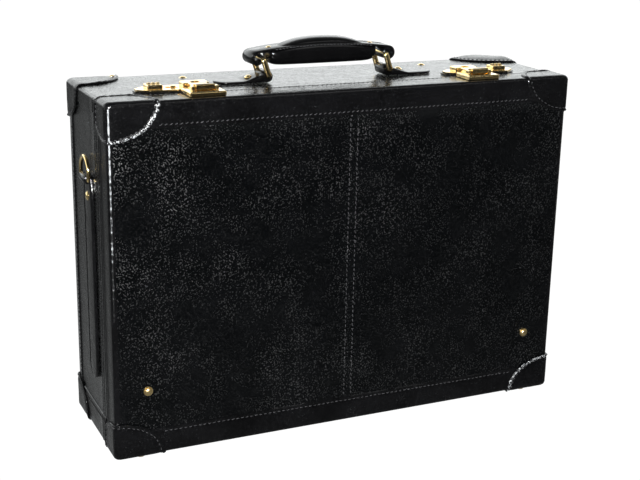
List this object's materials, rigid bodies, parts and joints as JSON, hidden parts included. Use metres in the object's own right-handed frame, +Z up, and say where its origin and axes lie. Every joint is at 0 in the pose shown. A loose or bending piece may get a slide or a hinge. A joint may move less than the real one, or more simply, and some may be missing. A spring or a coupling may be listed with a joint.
{
  "type": "leather briefcase",
  "caption": "Hard-sided black leather attaché case with an opening lid, brass combination locks and hasps, a swinging padded handle, side D-rings and corner caps.",
  "frame": {"origin": "middle of the footprint on the ground, with the case standing on the feet of its hinge side", "axes": "+X along the case's length to the right, -Y out of the lid (front), +Z up to the handle"},
  "size_m": [0.472, 0.1374, 0.3638],
  "materials": {
    "case_leather": "glossy fine-grained black leather",
    "trim_leather": "smooth black leather, semi-gloss",
    "lining_suede": "tan suede",
    "brass": "polished",
    "dial_brass": "satin, with number marks",
    "hinge_steel": "brassed steel, satin"
  },
  "bodies": {
    "base": {"base_lining": "lining_suede", "base_rim": "trim_leather", "base_shell": "case_leather", "cap_base_bottom_left": "trim_leather", "cap_base_bottom_right": "trim_leather", "cap_base_top_left": "trim_leather", "cap_base_top_right": "trim_leather", "foot_base_left": "brass", "foot_base_right": "brass", "handle_tab_left": "trim_leather", "handle_tab_right": "trim_leather", "hinge_leaf_base": "hinge_steel", "hinge_pin": "hinge_steel", "lock_backing_left": "trim_leather", "lock_backing_right": "trim_leather", "lock_plate_left": "brass", "lock_plate_right": "brass", "side_strap_left": "trim_leather", "side_strap_right": "trim_leather", "stay_pin_base_left": "brass", "stay_pin_base_right": "brass", "stud_back_bottom_left": "brass", "stud_back_bottom_right": "brass", "stud_back_top_left": "brass", "stud_back_top_right": "brass"},
    "lid": {"cap_lid_bottom_left": "trim_leather", "cap_lid_bottom_right": "trim_leather", "cap_lid_top_left": "trim_leather", "cap_lid_top_right": "trim_leather", "foot_lid_left": "brass", "foot_lid_right": "brass", "hasp_base_left": "brass", "hasp_base_right": "brass", "hinge_leaf_lid": "hinge_steel", "lid_lining": "lining_suede", "lid_pocket": "trim_leather", "lid_rim": "trim_leather", "lid_shell": "case_leather", "stay_pin_lid_left": "brass", "stay_pin_lid_right": "brass", "stud_front_left": "brass", "stud_front_right": "brass"},
    "dial_left_1": {"dial_left_1": "dial_brass"},
    "dial_left_2": {"dial_left_2": "dial_brass"},
    "dial_left_3": {"dial_left_3": "dial_brass"},
    "dial_right_1": {"dial_right_1": "dial_brass"},
    "dial_right_2": {"dial_right_2": "dial_brass"},
    "dial_right_3": {"dial_right_3": "dial_brass"},
    "handle_grip": {"handle_grip": "trim_leather"},
    "handle_ring_left": {"handle_ring_left": "brass"},
    "handle_ring_right": {"handle_ring_right": "brass"},
    "hasp_left": {"hasp_left": "brass"},
    "hasp_right": {"hasp_right": "brass"},
    "lock_button_left": {"lock_button_left": "brass"},
    "lock_button_right": {"lock_button_right": "brass"},
    "side_dring_left": {"side_dring_left": "brass"},
    "side_dring_right": {"side_dring_right": "brass"},
    "stay_arm_left": {"stay_arm_left": "brass"},
    "stay_arm_right": {"stay_arm_right": "brass"}
  },
  "joints": [
    {"name": "lid_hinge", "type": "hinge", "parent": "base", "child": "lid", "pos_m": [0, -0.035, 0.0037], "axis": [1, 0, 0], "range_deg": [0, 95]},
    {"name": "hasp_left_lift", "type": "hinge", "parent": "lid", "child": "hasp_left", "pos_m": [-0.137, -0.0498, 0.3326], "axis": [1, 0, 0], "range_deg": [0, 100]},
    {"name": "lock_button_left_slide", "type": "slide", "parent": "base", "child": "lock_button_left", "axis": [-1, 0, 0], "range_m": [0, 0.0035], "stiffness_N_per_m": 150, "springref_m": -0.002},
    {"name": "dial_left_1_turn", "type": "hinge", "parent": "base", "child": "dial_left_1", "pos_m": [-0.1781, -0.0215, 0.3316], "axis": [1, 0, 0], "continuous": true},
    {"name": "dial_left_2_turn", "type": "hinge", "parent": "base", "child": "dial_left_2", "pos_m": [-0.174, -0.0215, 0.3316], "axis": [1, 0, 0], "continuous": true},
    {"name": "dial_left_3_turn", "type": "hinge", "parent": "base", "child": "dial_left_3", "pos_m": [-0.1699, -0.0215, 0.3316], "axis": [1, 0, 0], "continuous": true},
    {"name": "side_dring_left_swing", "type": "hinge", "parent": "base", "child": "side_dring_left", "pos_m": [-0.2324, -0.004, 0.25], "axis": [0, -1, 0], "range_deg": [0, 150]},
    {"name": "stay_left_turn", "type": "hinge", "parent": "lid", "child": "stay_arm_left", "pos_m": [-0.21935, -0.045, 0.05778], "axis": [1, 0, 0], "range_deg": [-47.5, 0]},
    {"name": "handle_ring_left_lean", "type": "hinge", "parent": "base", "child": "handle_ring_left", "pos_m": [-0.062, 0, 0.3315], "axis": [0, 1, 0], "range_deg": [-21, 59]},
    {"name": "hasp_right_lift", "type": "hinge", "parent": "lid", "child": "hasp_right", "pos_m": [0.137, -0.0498, 0.3326], "axis": [1, 0, 0], "range_deg": [0, 100]},
    {"name": "lock_button_right_slide", "type": "slide", "parent": "base", "child": "lock_button_right", "axis": [1, 0, 0], "range_m": [0, 0.0035], "stiffness_N_per_m": 150, "springref_m": -0.002},
    {"name": "dial_right_1_turn", "type": "hinge", "parent": "base", "child": "dial_right_1", "pos_m": [0.1699, -0.0215, 0.3316], "axis": [1, 0, 0], "continuous": true},
    {"name": "dial_right_2_turn", "type": "hinge", "parent": "base", "child": "dial_right_2", "pos_m": [0.174, -0.0215, 0.3316], "axis": [1, 0, 0], "continuous": true},
    {"name": "dial_right_3_turn", "type": "hinge", "parent": "base", "child": "dial_right_3", "pos_m": [0.1781, -0.0215, 0.3316], "axis": [1, 0, 0], "continuous": true},
    {"name": "side_dring_right_swing", "type": "hinge", "parent": "base", "child": "side_dring_right", "pos_m": [0.2324, -0.004, 0.25], "axis": [0, 1, 0], "range_deg": [0, 150]},
    {"name": "stay_right_turn", "type": "hinge", "parent": "lid", "child": "stay_arm_right", "pos_m": [0.21935, -0.045, 0.05778], "axis": [1, 0, 0], "range_deg": [-47.5, 0]},
    {"name": "handle_ring_right_lean", "type": "hinge", "parent": "base", "child": "handle_ring_right", "pos_m": [0.062, 0, 0.3315], "axis": [0, 1, 0], "range_deg": [-21, 59]},
    {"name": "handle_swing", "type": "hinge", "parent": "handle_ring_left", "child": "handle_grip", "pos_m": [-0.06779, 0, 0.34833], "axis": [0, 1, 0], "range_deg": [-59, 21]}
  ],
  "couplings": [
    {"joint": "handle_swing", "follows": "handle_ring_left_lean", "ratio": -1},
    {"joint": "handle_ring_right_lean", "follows": "handle_ring_left_lean", "ratio": 1},
    {"joint": "stay_left_turn", "follows": "lid_hinge", "ratio": -0.5},
    {"joint": "stay_right_turn", "follows": "lid_hinge", "ratio": -0.5}
  ]
}
